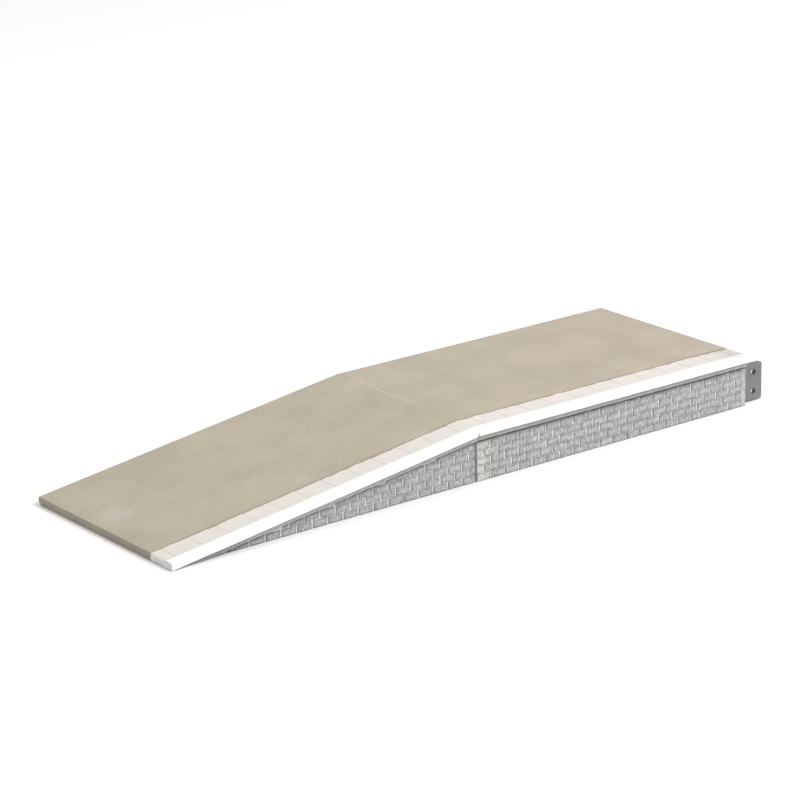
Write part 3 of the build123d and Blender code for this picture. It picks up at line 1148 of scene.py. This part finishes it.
def add_ribs(mesh, low_x, high_x, side, top):
    """A pair of ribs at each cross former, where the wall is high enough."""
    away = former_thickness / 2 + former_clearance
    ys = sorted((side * (inner_y + overlap), side * (inner_y - rib_depth)))
    for place in former_places:
        for rib_x in (place - away - rib_width, place + away):
            height = top - drop_at(rib_x) - rib_drop
            if low_x < rib_x and rib_x + rib_width < high_x and height > least_rib:
                block(mesh, (rib_x, ys[0], 0.0), (rib_x + rib_width, ys[1], height), 0)


def add_pegs(mesh, side):
    """Two round pegs for the joiner plate."""
    for peg_z in (joiner_middle - hole_pitch / 2, joiner_middle + hole_pitch / 2):
        made = bmesh.ops.create_cone(
            mesh, cap_ends=True, segments=peg_sides,
            radius1=peg_radius, radius2=peg_radius, depth=peg_length + overlap,
        )
        for vertex in made["verts"]:
            along_peg = inner_y + overlap / 2 - peg_length / 2 - vertex.co.z
            spot = (end_x - hole_from_end + vertex.co.x, side * along_peg, peg_z + vertex.co.y)
            vertex.co = Vector(spot)


def make_wall_extras(node, side, top, plane, joins):
    """Ribs, and at the joining end the pegs and the smooth margin of the stonework."""
    low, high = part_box(node)
    mesh = bmesh.new()
    add_ribs(mesh, low.x, high.x, side, top)
    if joins:
        add_pegs(mesh, side)
        margin = courses * course_height - bed_joint / 2
        ys = sorted((side * (plane - margin_sunk), side * (plane + relief)))
        block(mesh, (end_x - end_margin, ys[0], 0.0), (end_x, ys[1], margin), 1)
    piece = as_piece(node + "_extras", mesh, bare_plastic, stone_paint)
    for label in ("tone", "middle"):
        values = piece.data.attributes.new(label, "FLOAT", "POINT").data
        values.foreach_set("value", [margin_tone] * len(values))
    soften(piece, wall_edge)
    return piece


# %% Walls with their stones
def make_wall(node, side, top):
    low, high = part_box(node)
    joins = abs(high.x - end_x) < weld
    step = 0.0 if joins else ramp_step
    groove = landing_groove if joins else ramp_groove
    plane = -front_y - setback - step - relief
    plate = make_wall_plate(node, side, top, groove, plane)
    extras = make_wall_extras(node, side, top, plane, joins)
    hand_over(plate, "stone_paint", node)
    hand_over(extras, "former_plastic")

    right = high.x - end_margin if joins else high.x
    stones = lay(node + "_stones", stone_plan, {
        "Left": low.x, "Right": right, "Stones": round((right - low.x) / stone_length),
        "Courses": courses, "Course": course_height, "Bed": bed_joint, "Head": head_joint,
        "Limit": band_under - groove, "Crest": crest_x, "Slope": slope, "Least": least_stone,
        "Plane": side * plane, "Outward": float(side), "Relief": relief, "Sunk": margin_sunk,
        "Rim": 0.07 * mm, "Rough": 0.035 * mm, "Skew": 0.14 * mm, "Seed": 5.0 + low.x / mm,
        "Material": stone_paint,
    })
    hand_over(stones, "stone_paint")


for node, side, top in (
    ("front_ramp_wall", -1, coping_under),
    ("front_landing_wall", -1, coping_under),
    ("back_ramp_wall", 1, deck_under),
    ("back_landing_wall", 1, deck_under),
):
    make_wall(node, side, top)

# %% [markdown]
# ## Joiner plates, formers and toe strip
#
# These are plain flat mouldings whose CAD shapes are right. A copy of each is merged, so that its
# loose triangles become whole faces, and its edges are rounded as the mould rounds them.

# %% Rounded copies
moulded_edge = 0.06 * mm
strip_edge = 0.03 * mm


def rounded_copy(node, material, slot, width):
    mesh = bmesh.new()
    mesh.from_mesh(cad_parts[node].data)
    bmesh.ops.remove_doubles(mesh, verts=mesh.verts, dist=weld)
    bmesh.ops.dissolve_limit(
        mesh, angle_limit=math.radians(1.0), verts=mesh.verts, edges=mesh.edges, delimit={"NORMAL"},
    )
    for face in mesh.faces:
        face.material_index = 0
    piece = as_piece(node + "_moulding", mesh, material)
    soften(piece, width)
    hand_over(piece, slot, node)


for node in ("front_joiner", "back_joiner"):
    rounded_copy(node, joiner_plastic, "joiner_plastic", moulded_edge)
for node in former_nodes + ("end_former",):
    rounded_copy(node, bare_plastic, "former_plastic", moulded_edge)
rounded_copy("toe_strip", deck_paint, "deck_paint", strip_edge)

# %% [markdown]
# ## Sizes of both models
#
# The boxes of the CAD model and of the visual model are printed in millimetres. The
# visual model has to stay in the CAD model's box.

# %% Sizes of both models
visual_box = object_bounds()
sizes = {
    "cad": [list(corner) for corner in cad_box],
    "visual": [list(corner) for corner in visual_box],
}
for name, (low, high) in sizes.items():
    print(name, [round((b - a) / mm, 2) for a, b in zip(low, high)], "mm")
